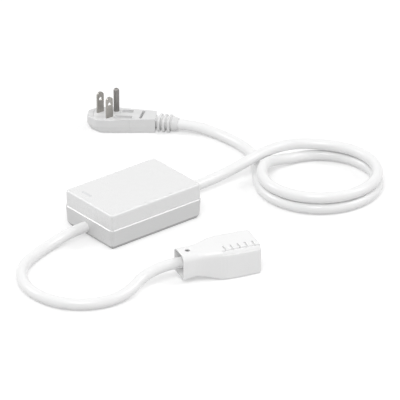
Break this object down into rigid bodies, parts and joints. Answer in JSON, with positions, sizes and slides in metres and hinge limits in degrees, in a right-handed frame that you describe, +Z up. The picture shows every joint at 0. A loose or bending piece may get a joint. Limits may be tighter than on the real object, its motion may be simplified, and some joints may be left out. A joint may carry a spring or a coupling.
{
  "type": "in-line smart switch module",
  "caption": "In-line smart switch: a two-shell box with a relay and radio board, a flat plug on a looped input cord and a moulded connector on the output cord.",
  "frame": {"origin": "middle of the box's underside", "axes": "+X along the box towards the input cord, +Y towards its far long side, +Z up"},
  "size_m": [0.344, 0.289, 0.0328],
  "materials": {
    "shell_white": "satin",
    "cord_white": "satin",
    "moulding_white": "satin",
    "carrier_white": "satin",
    "prong_metal": "nickel plated",
    "contact_metal": "bright",
    "screw_steel": "zinc plated",
    "window_clear": "clear",
    "button_white": "satin",
    "wire_black": "satin",
    "wire_white": "satin",
    "wire_green": "satin",
    "crimp_copper": "bright",
    "board_green": "satin",
    "terminal_grey": "satin",
    "fuse_glass": "clear",
    "component_blue": "gloss",
    "component_yellow": "gloss",
    "component_black": "satin",
    "ferrite_grey": "matt",
    "shield_tin": "tinned",
    "relay_iron": "plated",
    "led_lens": "clear"
  },
  "bodies": {
    "module": {"lower_shell": "shell_white", "upper_shell": "shell_white", "housing_screws": "screw_steel", "status_window": "window_clear", "input_cord_clamp": "shell_white", "output_cord_clamp": "shell_white", "inner_screws": "screw_steel", "box_jacket_ends": "cord_white", "line_leads": "wire_black", "neutral_leads": "wire_white", "ground_leads": "wire_green", "ground_splice": "crimp_copper", "circuit_board": "board_green", "terminal_blocks": "terminal_grey", "terminal_screws": "screw_steel", "fuse": "fuse_glass", "fuse_clips": "contact_metal", "varistor": "component_blue", "film_capacitor": "component_yellow", "chip_packages": "component_black", "bulk_capacitors": "component_black", "transformer_core": "ferrite_grey", "transformer_bobbin": "component_black", "transformer_winding": "component_yellow", "chip_resistors": "component_black", "radio_board": "board_green", "radio_shield": "shield_tin", "status_led": "led_lens", "tact_switch": "component_black", "relay_case": "component_black", "relay_base": "component_black", "relay_yoke": "relay_iron", "relay_core": "relay_iron", "relay_bobbin": "component_black", "relay_winding": "crimp_copper", "relay_fixed_contact": "contact_metal", "relay_pins": "contact_metal", "input_cord_lead": "cord_white", "input_cord_coil": "cord_white", "input_cord_tail": "cord_white", "output_cord": "cord_white", "plug_body": "moulding_white", "plug_pin_carrier": "carrier_white", "plug_strain_relief": "moulding_white", "moulded_jacket_ends": "cord_white", "plug_conductors": "wire_black", "line_blade": "prong_metal", "neutral_blade": "prong_metal", "ground_pin": "prong_metal", "connector_body": "moulding_white", "connector_insert": "carrier_white", "line_contact": "contact_metal", "neutral_contact": "contact_metal", "ground_contact": "contact_metal", "connector_conductors": "wire_black"},
    "button": {"pairing_button": "button_white", "tact_plunger": "component_black"},
    "armature": {"relay_armature": "relay_iron", "relay_moving_contact": "contact_metal"}
  },
  "joints": [
    {"name": "pairing_press", "type": "slide", "parent": "module", "child": "button", "axis": [0, -1, 0], "range_m": [0, 0.0004], "stiffness_N_per_m": 1500, "springref_m": -0.0001},
    {"name": "armature_swing", "type": "hinge", "parent": "module", "child": "armature", "pos_m": [-0.0092, -0.0162, 0.017], "axis": [0, 1, 0], "range_deg": [0, 3], "stiffness_Nm_per_rad": 0.02, "springref_deg": -2.86}
  ]
}
